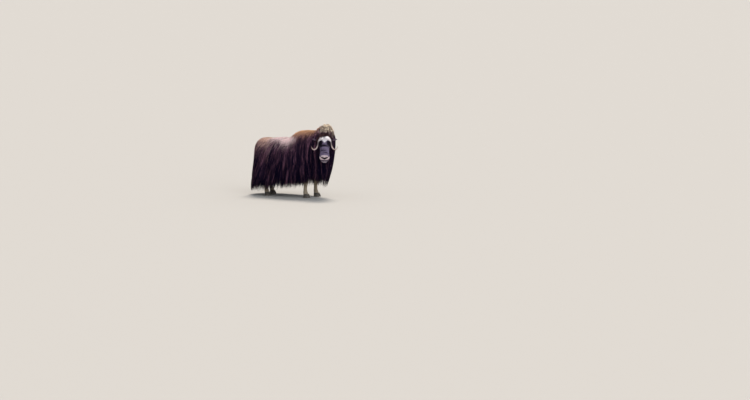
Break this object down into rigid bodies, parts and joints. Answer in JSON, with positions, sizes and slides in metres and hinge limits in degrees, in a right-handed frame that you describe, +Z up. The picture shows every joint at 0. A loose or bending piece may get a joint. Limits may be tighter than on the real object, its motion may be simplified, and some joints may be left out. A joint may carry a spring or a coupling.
{
  "type": "muskox figure",
  "caption": "Standing muskox at life size, head turned to its right, with a long skirt of hair, a raised mane and downswept horns.",
  "frame": {"origin": "on the floor, under the middle of the whole model's box", "axes": "+X forwards along the body, from rump to chest; +Y to the animal's left; +Z up"},
  "size_m": [2.0428, 0.9106, 1.416],
  "materials": {
    "guard_hair": "long dark brown guard hair, paler on the saddle and the mane's crown",
    "face_hair": "short grey-brown hair",
    "stocking_hair": "short pale hair",
    "horn_keratin": "smooth pale horn with a dull sheen, dark at the tips",
    "hoof_keratin": "dark worn hoof",
    "eye_cornea": "wet dark brown eye"
  },
  "bodies": {
    "root": {"torso_left": "guard_hair", "torso_right": "guard_hair", "neck": "guard_hair", "tail": "guard_hair", "head": "face_hair", "ear_left": "face_hair", "ear_right": "face_hair", "eye_left": "eye_cornea", "eye_right": "eye_cornea", "horn_left": "horn_keratin", "horn_right": "horn_keratin", "foreleg_left": "stocking_hair", "foreleg_right": "stocking_hair", "hindleg_left": "stocking_hair", "hindleg_right": "stocking_hair", "forehoof_left": "hoof_keratin", "forehoof_right": "hoof_keratin", "hindhoof_left": "hoof_keratin", "hindhoof_right": "hoof_keratin"}
  },
  "joints": []
}
